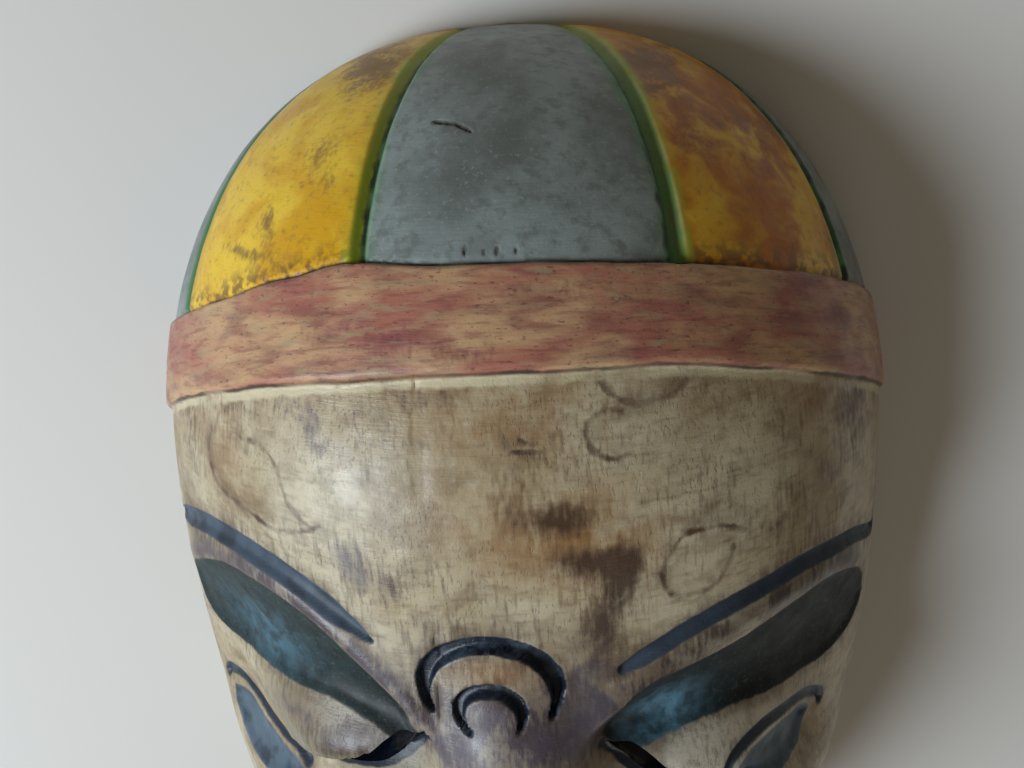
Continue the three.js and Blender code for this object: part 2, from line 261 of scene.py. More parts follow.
# Brows: a cut groove, a round ridge under it, and a broad dark scoop down to the eyelid
brow = {
    "ridgeProud": 1.2, "ridgeHalf": 3.6, "grooveDepth": 0.8, "scoopStep": 0.6, "scoopEdge": 2.2,
    "fadeFrom": 64, "fadeTo": 80,
}
brows = [
    {"side": -1, "ridgeAt": 51, "ridgeHeight": 8.6, "ridgeInnerBend": 0.0185, "ridgeOuterBend": 0.0235,
     "halfGroove": 2.3, "bluntness": 0.15,
     "groove": [(25, 1.8), (28.5, 4.3), (34.5, 7.9), (42, 11.1), (50, 12.7), (56, 12.8), (64, 11), (72, 6.5),
                (79, 0.5)],
     "upper": [(76.8, -15), (75.6, -9), (70, -2.5), (62, 4), (55, 6.8), (48, 6.6), (41, 5.2), (35, 2.4),
               (31, -1.8), (28, -6), (25.5, -10.5), (22.5, -16), (18.6, -21.8)],
     "lower": [(21.5, -23), (29.2, -19.9), (37.5, -18.3), (46.7, -19.1), (56.6, -20.2), (66, -22),
               (72.5, -21.6), (75.6, -19.2)]},
    {"side": 1, "ridgeAt": 60, "ridgeHeight": 7.9, "ridgeInnerBend": 0.0095, "ridgeOuterBend": 0.03,
     "halfGroove": 1.7, "bluntness": 0.6,
     "groove": [(20.5, -0.7), (26, 2.3), (33.5, 6.1), (42, 9.1), (52, 11.3), (60, 11.8), (70.5, 9.2),
                (80.5, 1.5)],
     "upper": [(77.3, -11), (75.8, -5), (72, 0.3), (65, 4.4), (59, 4.8), (51, 2.4), (42, -0.7), (34, -2.4),
               (28, -3), (23.7, -4.6), (20, -8.5), (18, -14), (17, -18)],
     "lower": [(20.2, -22), (28.1, -20), (37.2, -18.2), (47.2, -18.1), (58.9, -20.2), (68.5, -21.6),
               (74.2, -18.6), (76.6, -15)]},
]
socket = {
    "depth": 6, "lowerEdge": -18, "innerFrom": 12, "innerTo": 19, "outerFrom": 62, "outerTo": 80,
    "cheekFrom": -34, "cheekTo": -50,
}
eyelid = {
    "x": 38, "y": -27, "halfWidth": 24, "halfHeight": 11, "proud": 5.5,
    "lipAbove": 1.3, "lipBelow": 2.2, "lipReach": 7, "lipSoft": 1.5,
}


def ridgeLevel(x):
    heights = []
    for one in brows:
        fromPeak = np.abs(x) - one["ridgeAt"]
        bend = np.where(fromPeak > 0, one["ridgeOuterBend"], one["ridgeInnerBend"])
        heights.append(one["ridgeHeight"] - bend * fromPeak ** 2)
    return np.where(x < 0, heights[0], heights[1])


def eyeForm(x, y):
    out, level = np.abs(x), y + slant * x
    ridge = ridgeLevel(x)
    sides = blend(socket["innerFrom"], socket["innerTo"], out)
    sides = sides * (1 - blend(socket["outerFrom"], socket["outerTo"], out))
    fall = blend(0, 1, (ridge - level) / (ridge - socket["lowerEdge"]))
    climb = blend(socket["cheekTo"], socket["cheekFrom"], level)
    ridgeBump = brow["ridgeProud"] * bump(0, (level - ridge) / brow["ridgeHalf"]) * blend(8, 20, out)
    ridgeBump = ridgeBump * (1 - blend(brow["fadeFrom"], brow["fadeTo"], out))
    lid = mound(eyelid, out, level)
    # the upper lid stands over the lower one along the slit
    along = (out - slit["innerX"]) / (slit["outerX"] - slit["innerX"])
    above = level - slitCentre(np.clip(along, -0.2, 1.4))
    step = blend(-eyelid["lipSoft"], eyelid["lipSoft"], above) * (eyelid["lipAbove"] + eyelid["lipBelow"])
    lip = (step - eyelid["lipBelow"]) * bump(above / eyelid["lipReach"])
    lip = lip * blend(-0.1, 0.3, along) * (1 - blend(1, 1.4, along))
    return ridgeBump - socket["depth"] * sides * fall * climb + eyelid["proud"] * lid * sides + lip


def browGroove(base):
    nearest, half = np.full(len(base), 99.0), np.full(len(base), 1.0)
    for one in brows:
        away, along = fromLine(base, *drawn(one["groove"], one["side"]))
        taper = np.minimum(1, one["bluntness"] + np.minimum(4 * along, 5 * (1.05 - along)))
        closer = away < nearest
        nearest, half = np.where(closer, away, nearest), np.where(closer, one["halfGroove"] * taper, half)
    return nearest, half


def thickBrow(base):
    return np.min([fromDrawnPatch(base, one) for one in brows], axis=0)


# Leaf marks under the outer ends of the eyes: a groove over a pale ridge over a shallow scoop
leaf = {"halfGroove": 1.4, "depth": 1.0, "scoop": 0.8, "scoopEdge": 2.5}
leaves = [
    {"side": -1,
     "line": [(73.6, -39), (72.2, -36), (69, -34.6), (65.3, -35.8), (61, -36.8), (56, -37), (51, -37.8),
              (47.5, -39.8)],
     "upper": [(71.3, -39.8), (67.3, -38), (63, -39.1), (58.3, -39.4), (53, -40), (48, -41.6)],
     "lower": [(50, -45.3), (55, -47.2), (61, -47.5), (66, -46.3), (70.5, -43.6)]},
    {"side": 1,
     "line": [(69.1, -34.9), (68.5, -32), (65.8, -29.3), (61.4, -26.9), (56, -25.4), (50.5, -24.9),
              (45.6, -25.6), (42.1, -27.3), (40.5, -29.7)],
     "upper": [(66.4, -34.4), (63.6, -30.8), (55.6, -28.1), (47.1, -27.8), (43.2, -30.2)],
     "lower": [(45.5, -37.1), (53.2, -41.2), (61.9, -40.1)]},
]


def leafMarks(base):
    line = np.min([fromLine(base, *drawn(one["line"], one["side"]))[0] for one in leaves], axis=0)
    return line, np.min([fromDrawnPatch(base, one) for one in leaves], axis=0)


# A cut narrows to four tenths of its width at both ends
def pointed(share, steepness):
    return 0.4 + 0.6 * np.minimum(1, np.minimum(steepness * share, steepness * (1 - share)))


# Two arcs cut one inside the other on the root of the nose
arcs = [
    {"x": -3.6, "y": -4.5, "halfWidth": 12.3, "height": 9.5, "from": -0.45, "to": 3.62,
     "half": 1.8, "depth": 1.9},
    {"x": -3.5, "y": -8.2, "halfWidth": 5.8, "height": 4.4, "from": -0.5, "to": 4.04,
     "half": 1.25, "depth": 1.5},
]


def arcCuts(base):
    cut, paint = np.zeros(len(base)), np.full(len(base), 99.0)
    for arc in arcs:
        angle = np.linspace(arc["from"], arc["to"], 40)
        x, y = arc["x"] + arc["halfWidth"] * np.cos(angle), arc["y"] + arc["height"] * np.sin(angle)
        away, share = fromLine(base, x, y)
        half = arc["half"] * pointed(share, 5)
        cut = np.minimum(cut, -arc["depth"] * (1 - blend(0.55, 1.0, away / half)))
        paint = np.minimum(paint, away - half)
    return cut, paint


# The nose, mouth, cheeks and chin
nose = {
    "rootAt": 12, "tipAt": -62, "lipAt": -71, "rootProud": 4, "proud": 19, "rootHalf": 11.5, "tipHalf": 13,
    "wingX": 14.5, "wingY": -60, "wingRadius": 8, "wingProud": 8,
    "nostrilX": 8, "nostrilY": -67.5, "nostrilWide": 4.2, "nostrilHigh": 3.2, "nostrilDepth": 4.5,
}
mouth = {
    "y": -89, "halfWidth": 27, "lipGap": 5.4, "lipHalf": 5.2, "upperProud": 5, "lowerProud": 6,
    "muzzleProud": 4, "muzzleHalfWidth": 34, "muzzleHalfHeight": 20,
    "cutHalf": 1.2, "cutDepth": 2.2, "cornerLift": 1.5,
    "lipUpper": 8.6, "lipLower": 10.2, "bowDip": 1.8, "edgeHalf": 0.9, "edgeDepth": 0.5,
}
cheek = {"x": 42, "y": -60, "halfWidth": 22, "halfHeight": 24, "proud": 4}
chin = {"x": 0, "y": -117, "halfWidth": 20, "halfHeight": 13, "proud": 6}


def noseForm(x, y):
    down = blend(0, 1, (nose["rootAt"] - y) / (nose["rootAt"] - nose["tipAt"]))
    under = 1 - blend(0, 1, (nose["tipAt"] - y) / (nose["tipAt"] - nose["lipAt"]))
    height = nose["rootProud"] * blend(0, 0.35, down) + (nose["proud"] - nose["rootProud"]) * down ** 1.6
    half = nose["rootHalf"] + (nose["tipHalf"] - nose["rootHalf"]) * down
    wings = bump((np.abs(x) - nose["wingX"]) / nose["wingRadius"], (y - nose["wingY"]) / nose["wingRadius"])
    return height * under * np.exp(-np.abs(x / half) ** 2.3) + nose["wingProud"] * wings * under


def mouthForm(x, y):
    across = x / mouth["halfWidth"]
    line = mouth["y"] + mouth["cornerLift"] * across * across
    gap = mouth["lipGap"] * np.maximum(0, 1 - across * across)
    upper = mouth["upperProud"] * bump(across ** 2, (y - line - gap) / mouth["lipHalf"])
    lower = mouth["lowerProud"] * bump(across ** 2 * 1.3, (y - line + gap) / mouth["lipHalf"])
    muzzle = bump(x / mouth["muzzleHalfWidth"], (y - mouth["y"]) / mouth["muzzleHalfHeight"])
    return upper + lower + mouth["muzzleProud"] * muzzle


def lipMarks(base):
    across = np.linspace(-1, 1, 50)
    x = mouth["halfWidth"] * across
    middle = mouth["y"] + mouth["cornerLift"] * across ** 2
    cut, share = fromLine(base, x, middle)
    full = np.sqrt(np.maximum(0, 1 - across ** 2))
    bow = mouth["bowDip"] * bump(x / 5)
    upper = middle + mouth["lipUpper"] * full - bow
    lower = middle - mouth["lipLower"] * full
    edge, _ = fromLine(base, np.concatenate([x, x[::-1]]), np.concatenate([upper, lower[::-1]]))
    top = np.interp(base[:, 0], x, upper, left=-999, right=-999)
    bottom = np.interp(base[:, 0], x, lower, left=999, right=999)
    inside = (base[:, 1] < top) & (base[:, 1] > bottom) & (base[:, 2] > 0)
    half = mouth["cutHalf"] * pointed(share, 4)
    return cut, half, np.where(inside, -edge, edge)


# Nicks and small splits, each a short cut: x, y, length, turn, half width and depth
nicks = [
    (-8.3, 91.5, 4.2, -0.12, 0.5, 0.6),
    (-5.0, 90.7, 3.8, -0.42, 0.42, 0.5),
    (5.4, 41.2, 5.2, -0.06, 0.32, 0.5),
    (5.0, 43.0, 2.4, -0.5, 0.25, 0.3),
    (-3.9, 72.4, 1.4, 1.5, 0.3, 0.4),
    (-0.8, 72.0, 0.9, 1.6, 0.25, 0.3),
    (1.5, 72.2, 1.1, 1.4, 0.3, 0.4),
    (4.7, 72.0, 0.9, 1.7, 0.28, 0.3),
]


# Thin brown rings that drops left on the forehead
rings = [
    [(-57, 38), (-58.5, 33), (-57, 27.5), (-52, 25.4), (-48, 24.2), (-44, 22.9), (-40.5, 22.9), (-36.5, 24),
     (-33, 25.6)],
    [(-49, 38.5), (-44.6, 38.6), (-42, 36.6), (-40.6, 34), (-39.6, 30), (-37.6, 27), (-34.8, 25.2)],
    [(21.5, 46.2), (18.8, 46.9), (16, 45.6), (15.4, 42.7), (16.6, 40.2), (19.6, 38.8), (22.8, 39.3)],
    [(18, 51.4), (20.2, 48.9), (24.3, 47.4), (29, 47.6), (33, 49.5)],
    [(43.6, 20.2), (39, 22.6), (34.8, 23), (31.4, 22.4), (29.3, 19.5), (27.9, 15.6), (29.3, 12), (33, 10.4),
     (38, 11.2), (40.2, 14.5), (41.2, 18)],
]


def ringDistance(base):
    return np.min([fromLine(base, *drawn(ring, 1, 0), 4)[0] for ring in rings], axis=0)


def nickCuts(base):
    cut, paint = np.zeros(len(base)), np.full(len(base), 99.0)
    for x, y, length, turn, halfCut, depth in nicks:
        t = np.linspace(-0.5, 0.5, 6) * length
        away, share = fromLine(base, x + t * math.cos(turn), y + t * math.sin(turn), 4)
        half = halfCut * pointed(share, 4)
        cut = np.minimum(cut, -depth * (1 - blend(0.2, 1, away / half)))
        paint = np.minimum(paint, away - half)
    return cut, paint


# All painted and carved marks at a place on the block, in millimetres from their edges
def marksAt(base):
    marks = capMarks(base)
    grooveAway, grooveHalf = browGroove(base)
    marks["browGroove"] = grooveAway - grooveHalf
    marks["thickBrow"] = thickBrow(base)
    marks["leafLine"], marks["leafFill"] = leafMarks(base)
    marks["arcCut"], marks["arcPaint"] = arcCuts(base)
    marks["slitLine"] = slitPaint(base)
    mouthAway, mouthHalf, marks["lips"] = lipMarks(base)
    marks["mouthLine"] = mouthAway - mouthHalf
    marks["nickCut"], marks["nicks"] = nickCuts(base)
    marks["ringLine"] = ringDistance(base)
    marks["browGrooveShare"] = np.clip(grooveAway / grooveHalf, 0, 2)
    marks["mouthShare"] = np.clip(mouthAway / mouthHalf, 0, 2)
    return marks


def unevenness(base, size, seed):
    offset = Vector((seed * 7.3, seed * 3.1, seed * 5.7))
    return np.array([noise.noise(Vector(p) / size + offset) for p in base.tolist()])


def reliefAt(base, marks):
    x, y = base[:, 0], base[:, 1]
    out = np.abs(x)
    cheeks = cheek["proud"] * mound(cheek, out, y)
    chinBump = chin["proud"] * mound(chin, x, y)
    face = eyeForm(x, y) + noseForm(x, y) + mouthForm(x, y) + cheeks + chinBump - cap["foreheadInset"]
    face -= brow["grooveDepth"] * (1 - blend(0.3, 1.05, marks["browGrooveShare"]))
    face -= brow["scoopStep"] * blend(0, brow["scoopEdge"], -marks["thickBrow"])
    face -= leaf["depth"] * (1 - blend(0.3, 1.1, marks["leafLine"] / leaf["halfGroove"]))
    face -= leaf["scoop"] * blend(0, leaf["scoopEdge"], -marks["leafFill"])
    face += marks["arcCut"] + marks["nickCut"]
    face -= mouth["cutDepth"] * (1 - blend(0.2, 1.1, marks["mouthShare"]))
    face -= mouth["edgeDepth"] * bump(marks["lips"] / mouth["edgeHalf"])
    nostril = bump((out - nose["nostrilX"]) / nose["nostrilWide"],
                   (y - nose["nostrilY"]) / nose["nostrilHigh"])
    face -= nose["nostrilDepth"] * nostril
    slope = cap["edgeSlope"]
    belowBand = 1 - blend(-slope, slope, marks["bandFoot"])
    belowCap = 1 - blend(-slope, slope, marks["bandTop"])
    gore = -cap["grooveDepth"] * (1 - blend(0.15, 1.1, marks["goreGroove"] / cap["halfGroove"]))
    gore -= cap["shoulder"] * np.exp(-marks["goreGroove"] / cap["shoulderReach"])
    gore += marks["nickCut"]
    band = cap["bandProud"] - cap["edgeCut"] * bump((marks["bandFoot"] - 0.3) / 0.55)
    total = gore * (1 - belowCap) + band * (belowCap - belowBand) + face * belowBand
    total -= cap["edgeCut"] * bump((marks["bandTop"] - 0.4) / 0.5)
    total -= shell["rimDrop"] * np.clip(1 - base[:, 2] / shell["rimRound"], 0, 1) ** 2
    return total - marks["handWork"]


# The block starts as a cube whose faces are cut fine and blown out to a half ball
shell = {
    "outerCuts": 89, "innerCuts": 43, "firstReach": 4.0, "secondReach": 1.7, "rimRound": 2.2, "rimDrop": 1.0,
    "apart": 300, "mergeWithin": 0.01, "bareBelow": 2.5,
}


def profileTable():
    sweep = np.linspace(0, np.pi, 4001)
    middle = (head["crownHeight"] - head["chinDrop"]) / 2
    y = middle + (head["crownHeight"] + head["chinDrop"]) / 2 * np.cos(sweep)
    length = np.concatenate([[0], np.cumsum(np.hypot(np.diff(y), np.diff(depthAt(y))))])
    return (0.5 - length / length[-1]) * np.pi, y


latitudes, heights = profileTable()


def cubeToBlock(cube):
    direction = np.tan(np.clip(cube, -1, 1) * np.pi / 4)
    direction /= np.linalg.norm(direction, axis=1, keepdims=True)
    y = np.interp(np.arcsin(np.clip(direction[:, 1], -1, 1)), latitudes[::-1], heights[::-1])
    return y, np.arctan2(direction[:, 0], np.maximum(direction[:, 2], 0))


def pickOnly(piece):
    bpy.ops.object.select_all(action="DESELECT")
    piece.select_set(True)
    bpy.context.view_layer.objects.active = piece


def editAll():
    bpy.ops.object.mode_set(mode="EDIT")
    bpy.ops.mesh.select_all(action="SELECT")


def stopEditing():
    bpy.ops.object.mode_set(mode="OBJECT")


def halfCube(name, cuts):
    bpy.ops.object.select_all(action="DESELECT")
    bpy.ops.mesh.primitive_cube_add(size=2)
    piece = bpy.context.object
    piece.name = name
    editAll()
    bpy.ops.mesh.subdivide(number_cuts=cuts, smoothness=0)
    bpy.ops.mesh.select_all(action="SELECT")
    bpy.ops.mesh.bisect(plane_co=(0, 0, 0), plane_no=(0, 0, 1), clear_inner=True, threshold=0.0001)
    stopEditing()
    return piece


def readAll(items, name, width=1, kind=float):
    values = np.empty(len(items) * width, kind)
    items.foreach_get(name, values)
    return values.reshape(-1, width) if width > 1 else values


def readPoints(piece):
    return readAll(piece.data.vertices, "co", 3)


def writePoints(piece, points):
    piece.data.vertices.foreach_set("co", points.astype(np.float32).ravel())
    piece.data.update()


def selectFaces(piece, chosen):
    bpy.context.tool_settings.mesh_select_mode = (False, False, True)
    bpy.ops.object.mode_set(mode="EDIT")
    bpy.ops.mesh.select_all(action="DESELECT")
    stopEditing()
    piece.data.polygons.foreach_set("select", chosen)
    bpy.ops.object.mode_set(mode="EDIT")


def faceCentres(piece):
    return readAll(piece.data.polygons, "center", 3)


# How near a place is to something that needs a finer mesh
def nearestMark(base):
    marks = marksAt(base)
    onCap = marks["bandTop"] > -2
    onFace = marks["bandFoot"] < 2
    edges = np.minimum(np.abs(marks["bandTop"]), np.abs(marks["bandFoot"]))
    goreWalls = np.where(onCap, marks["goreGroove"] - cap["halfGroove"] * 0.5, 99)
    edgesOf = [np.abs(marks[name]) for name in ("thickBrow", "leafFill", "lips")]
    faceParts = [marks[name] for name in ("browGroove", "arcPaint", "slitLine", "mouthLine")]
    faceParts += edgesOf + [marks["leafLine"] - 1]
    nostrils = np.hypot(np.abs(base[:, 0]) - nose["nostrilX"], base[:, 1] - nose["nostrilY"]) - 5
    onNose = np.where(base[:, 2] > 0, nostrils, 99)
    face = np.where(onFace, np.minimum(np.min(faceParts, axis=0), onNose), 99)
    fineMarks = np.minimum(marks["nicks"], marks["ringLine"] + 1)
    return np.minimum(np.minimum(edges, goreWalls), np.minimum(face, fineMarks))


def refine(piece, reach):
    y, turn = cubeToBlock(faceCentres(piece))
    chosen = nearestMark(blockPoint(y, turn)) < reach
    selectFaces(piece, chosen)
    bpy.ops.mesh.subdivide(number_cuts=1, smoothness=0, ngon=False, quadcorner="INNERVERT")
    stopEditing()


def addHandWork(base, marks):
    wave = cap["edgeWave"] * unevenness(base, 9, 4)
    marks["bandTop"] = marks["bandTop"] + wave
    marks["bandFoot"] = marks["bandFoot"] + wave
    marks["handWork"] = 0.16 + 0.14 * unevenness(base, 13, 1) + 0.05 * unevenness(base, 4, 2)


def carveOutside():
    piece = halfCube("carvedMask", shell["outerCuts"])
    refine(piece, shell["firstReach"])
    refine(piece, shell["secondReach"])
    y, turn = cubeToBlock(readPoints(piece))
    base = blockPoint(y, turn)
    marks = marksAt(base)
    addHandWork(base, marks)
    points = base + blockNormal(base) * reliefAt(base, marks)[:, None]
    points[:, 2] = np.maximum(points[:, 2], 0.2 * base[:, 2])
    writePoints(piece, points)
    print("outside carved:", len(piece.data.polygons), "faces")
    return piece


# The hollow is gouged: rows of shallow scoops run down it
hollow = {"rimWall": 11, "frontWall": 13, "scoopWide": 11, "scoopLong": 26, "scoopDeep": 0.7}


def gougeHollow():
    piece = halfCube("hollow", shell["innerCuts"])
    up, turn = cubeToBlock(readPoints(piece))
    y = np.where(up > 0, up / head["crownHeight"] * (head["crownHeight"] - hollow["rimWall"]),
                 up / head["chinDrop"] * (head["chinDrop"] - hollow["rimWall"]))
    depth = depthAt(y, hollow["frontWall"], hollow["rimWall"])
    points = np.stack([halfWidthAt(y, hollow["rimWall"]) * np.sin(turn), y, depth * np.cos(turn)], axis=1)
    lane = turn * head["halfWidth"] / hollow["scoopWide"]
    wander = unevenness(points, 30, 3)
    strokes = np.abs(np.sin(np.pi * (lane + 0.3 * wander)))
    step = (y / hollow["scoopLong"] + 0.5 * np.floor(lane) + wander) % 1
    deep = hollow["scoopDeep"] * (strokes * 0.7 + 0.5 * step * blend(1, 0.8, step))
    deep = deep * blend(0, 8, points[:, 2])
    outwards = points / np.maximum(np.linalg.norm(points, axis=1, keepdims=True), 1)
    points += outwards * deep[:, None]
    points[:, 2] -= shell["apart"]   # held below the outside until the rim has joined them
    writePoints(piece, points)
    print("hollow gouged:", len(piece.data.polygons), "faces")
    return piece


def closeMask(outside, inside):
    pickOnly(outside)
    inside.select_set(True)
    bpy.ops.object.join()
    bpy.context.tool_settings.mesh_select_mode = (False, True, False)
    editAll()
    bpy.ops.mesh.remove_doubles(threshold=shell["mergeWithin"])
    bpy.ops.mesh.select_all(action="DESELECT")
    bpy.ops.mesh.select_non_manifold(extend=False, use_wire=False, use_multi_face=False,
                                     use_non_contiguous=False, use_verts=False)
    bpy.ops.mesh.bridge_edge_loops()
    stopEditing()
    points = readPoints(outside)
    points[points[:, 2] < -shell["apart"] / 2, 2] += shell["apart"]
    writePoints(outside, points)
    editAll()
    bpy.ops.mesh.normals_make_consistent(inside=False)
    stopEditing()
    return outside


# Each eye slit is an extruded outline that is cut straight back through the wall
def cutSlit(piece, side):
    x, y = slitOutline(side)
    bpy.ops.object.select_all(action="DESELECT")
    bpy.ops.mesh.primitive_circle_add(vertices=len(x), radius=1, fill_type="NGON")
    tool = bpy.context.object
    writePoints(tool, np.stack([x, y, np.full(len(x), slit["cutFrom"])], axis=1))
    editAll()
    bpy.ops.mesh.extrude_region_move(TRANSFORM_OT_translate={"value": (0, 0, slit["cutLength"])})
    bpy.ops.mesh.select_all(action="SELECT")
    bpy.ops.mesh.normals_make_consistent(inside=False)
    stopEditing()
    pickOnly(piece)
    cutter = piece.modifiers.new("slit", "BOOLEAN")
    cutter.operation = "DIFFERENCE"
    cutter.solver = "EXACT"
    cutter.object = tool
    bpy.ops.object.modifier_apply(modifier=cutter.name)
    bpy.data.objects.remove(tool)


def meshVolume(piece):
    piece.data.calc_loop_triangles()
    corners = readAll(piece.data.loop_triangles, "vertices", 3, np.int32)
    a, b, c = readPoints(piece)[corners].transpose(1, 0, 2)
    return (np.cross(a, b) * c).sum() / 6, len(corners)


mask = closeMask(carveOutside(), gougeHollow())
for side in (-1, 1):
    cutSlit(mask, side)
volume, triangles = meshVolume(mask)
print(f"mask closed: {triangles} triangles, {volume / 1000:.0f} cubic centimetres")


# Stains, worn places, painted shade and painted sheen, each a soft spot: x, y, half width, half height and
# strength
stains = {
    "brownStain": [
        (-10, 50, 13, 2.6, 0.4), (6, 35, 9, 10, 0.35), (11.5, 29, 8, 3.2, 0.75),
        (15.5, 20.6, 7.5, 2.6, 1.0), (21.5, 16, 3.2, 6, 1.2), (17, 8, 3.5, 8, 0.95),
        (69, 32, 7, 9, 0.7), (52, 20, 11, 8, 0.4), (-20, 15, 8, 5, 0.4), (-52, 44, 8, 4, 0.4),
        (-64, 30, 4, 8, 0.5), (-31, -22, 9, 4.5, 0.85), (-42, -25, 7, 4, 0.45),
        (-63, -24, 9, 4, 0.45), (29, -31, 6, 4, 0.3), (-12, 8, 5, 3, 0.4), (34, -62, 9, 7, 0.45),
        (-44, -74, 8, 10, 0.4), (8, -124, 12, 5, 0.45),
    ],
    "warmStain": [
        (8, 27, 17, 9, 1.2), (20, 20, 12, 10, 0.6), (2, 45, 14, 6, 0.6), (-54, 33, 9, 10, 0.6),
        (60, 40, 14, 8, 0.6), (-3, -1, 9, 4, 1.5), (-40, -20, 14, 6, 0.5),
    ],
    # purple stains; the large spot right of the nose root, at 12, -12, is partly painted shade
    "purpleStainAndShade": [
        (-32.5, 43, 3, 3.6, 0.6), (-31, 36, 2.6, 4, 0.5), (-21, 46.5, 5, 2.6, 0.4),
        (-28.5, 21.5, 4, 4, 0.65), (-25, 16, 4.5, 4.5, 0.6), (-35, 47, 6, 3, 0.4),
        (12, -12, 9, 10, 1.1), (-11, -17, 8, 8, 0.7), (-48, -22, 16, 6, 0.35),
        (-24, -52, 6, 9, 0.35),
    ],
    "capWear": [
        (-31, 86, 4, 6, 0.5), (-42, 75, 1.5, 4, 0.6), (-48, 70, 7, 1.4, 0.6), (-36, 69, 8, 3, 0.4),
        (-25, 101, 9, 5, 0.8), (37, 86, 8, 6, 0.45), (30, 98, 9, 5, 0.8), (52, 84, 9, 8, 0.45),
        (66, 62, 5, 4, 0.5),
    ],
    "wineStain": [
        (-6, 57, 9, 2, 0.6), (-24, 58, 12, 4, 0.35), (12, 66, 16, 2, 0.35),
    ],
    "brightOchre": [
        (62, 68, 5, 8, 1.0), (38, 74, 3, 6, 0.8),
    ],
    # painted sheen: blue highlights on the thick brows
    "blueSheen": [
        (-56, -8.5, 11, 8, 1.0), (29, -17, 10, 7, 1.2),
    ],
}


def stainAt(base, spots):
    total = np.zeros(len(base))
    for x, y, wide, high, strength in spots:
        total += strength * bump((base[:, 0] - x) / wide, (base[:, 1] - y) / high)
    return total * (base[:, 2] > 0)


# Pinkish bare wood on the brow ridges and the root of the nose
def rosyAt(base):
    level = base[:, 1] + slant * base[:, 0]
    out = np.abs(base[:, 0])
    fade = blend(12, 20, out) * (1 - blend(brow["fadeFrom"], brow["fadeTo"], out))
    onRidge = bump(0, (level - ridgeLevel(base[:, 0])) / 3.4) * fade
    root = 1.3 * bump(base[:, 0] / 24, (base[:, 1] + 11) / 14)
    root = root * (1 - 0.8 * bump((base[:, 0] + 3) / 9, (base[:, 1] + 1) / 4))
    return np.clip(onRidge + root, 0, 1) * (base[:, 2] > 0)


# What the paint reads off the mesh
paintedMarks = [
    "bandTop", "bandFoot", "goreGroove", "yellowGore", "browGroove", "thickBrow", "leafLine", "leafFill",
    "arcPaint", "slitLine", "lips", "mouthLine", "nicks", "ringLine", "depthBelow", "rosyWood", "eyelid",
]


def addAttribute(piece, name, values):
    attribute = piece.data.attributes.new(name, "FLOAT", "POINT")
    attribute.data.foreach_set("value", values.astype(np.float32))


def markPaint(piece):
    base, height = footOnBlock(readPoints(piece))
    marks = marksAt(base)
    addHandWork(base, marks)
    marks["depthBelow"] = reliefAt(base, marks) - height
    for name, spots in stains.items():
        marks[name] = stainAt(base, spots)
    marks["rosyWood"] = rosyAt(base)
    out, level = np.abs(base[:, 0]), base[:, 1] + slant * base[:, 0]
    marks["eyelid"] = mound(eyelid, out, level) * (base[:, 2] > 0)
    for name in paintedMarks + list(stains):
        addAttribute(piece, name, marks[name])


markPaint(mask)
points = readPoints(mask)
points[:, 1] += head["lift"]
writePoints(mask, points * mm)
pickOnly(mask)
bpy.ops.object.shade_smooth_by_angle(angle=math.radians(60))
print("paint marked")


# Materials. Colours are what a paint chip reads on screen, 0 to 255
def colour(red, green, blue):
    def toLinear(value):
        share = value / 255
        return share / 12.92 if share <= 0.04045 else ((share + 0.055) / 1.055) ** 2.4
    return toLinear(red), toLinear(green), toLinear(blue), 1


def chips(readings):
    return {name: colour(*reading) for name, reading in readings.items()}


gloss = {"coat": 0.1, "coatRoughness": 0.32, "specular": 0.34}


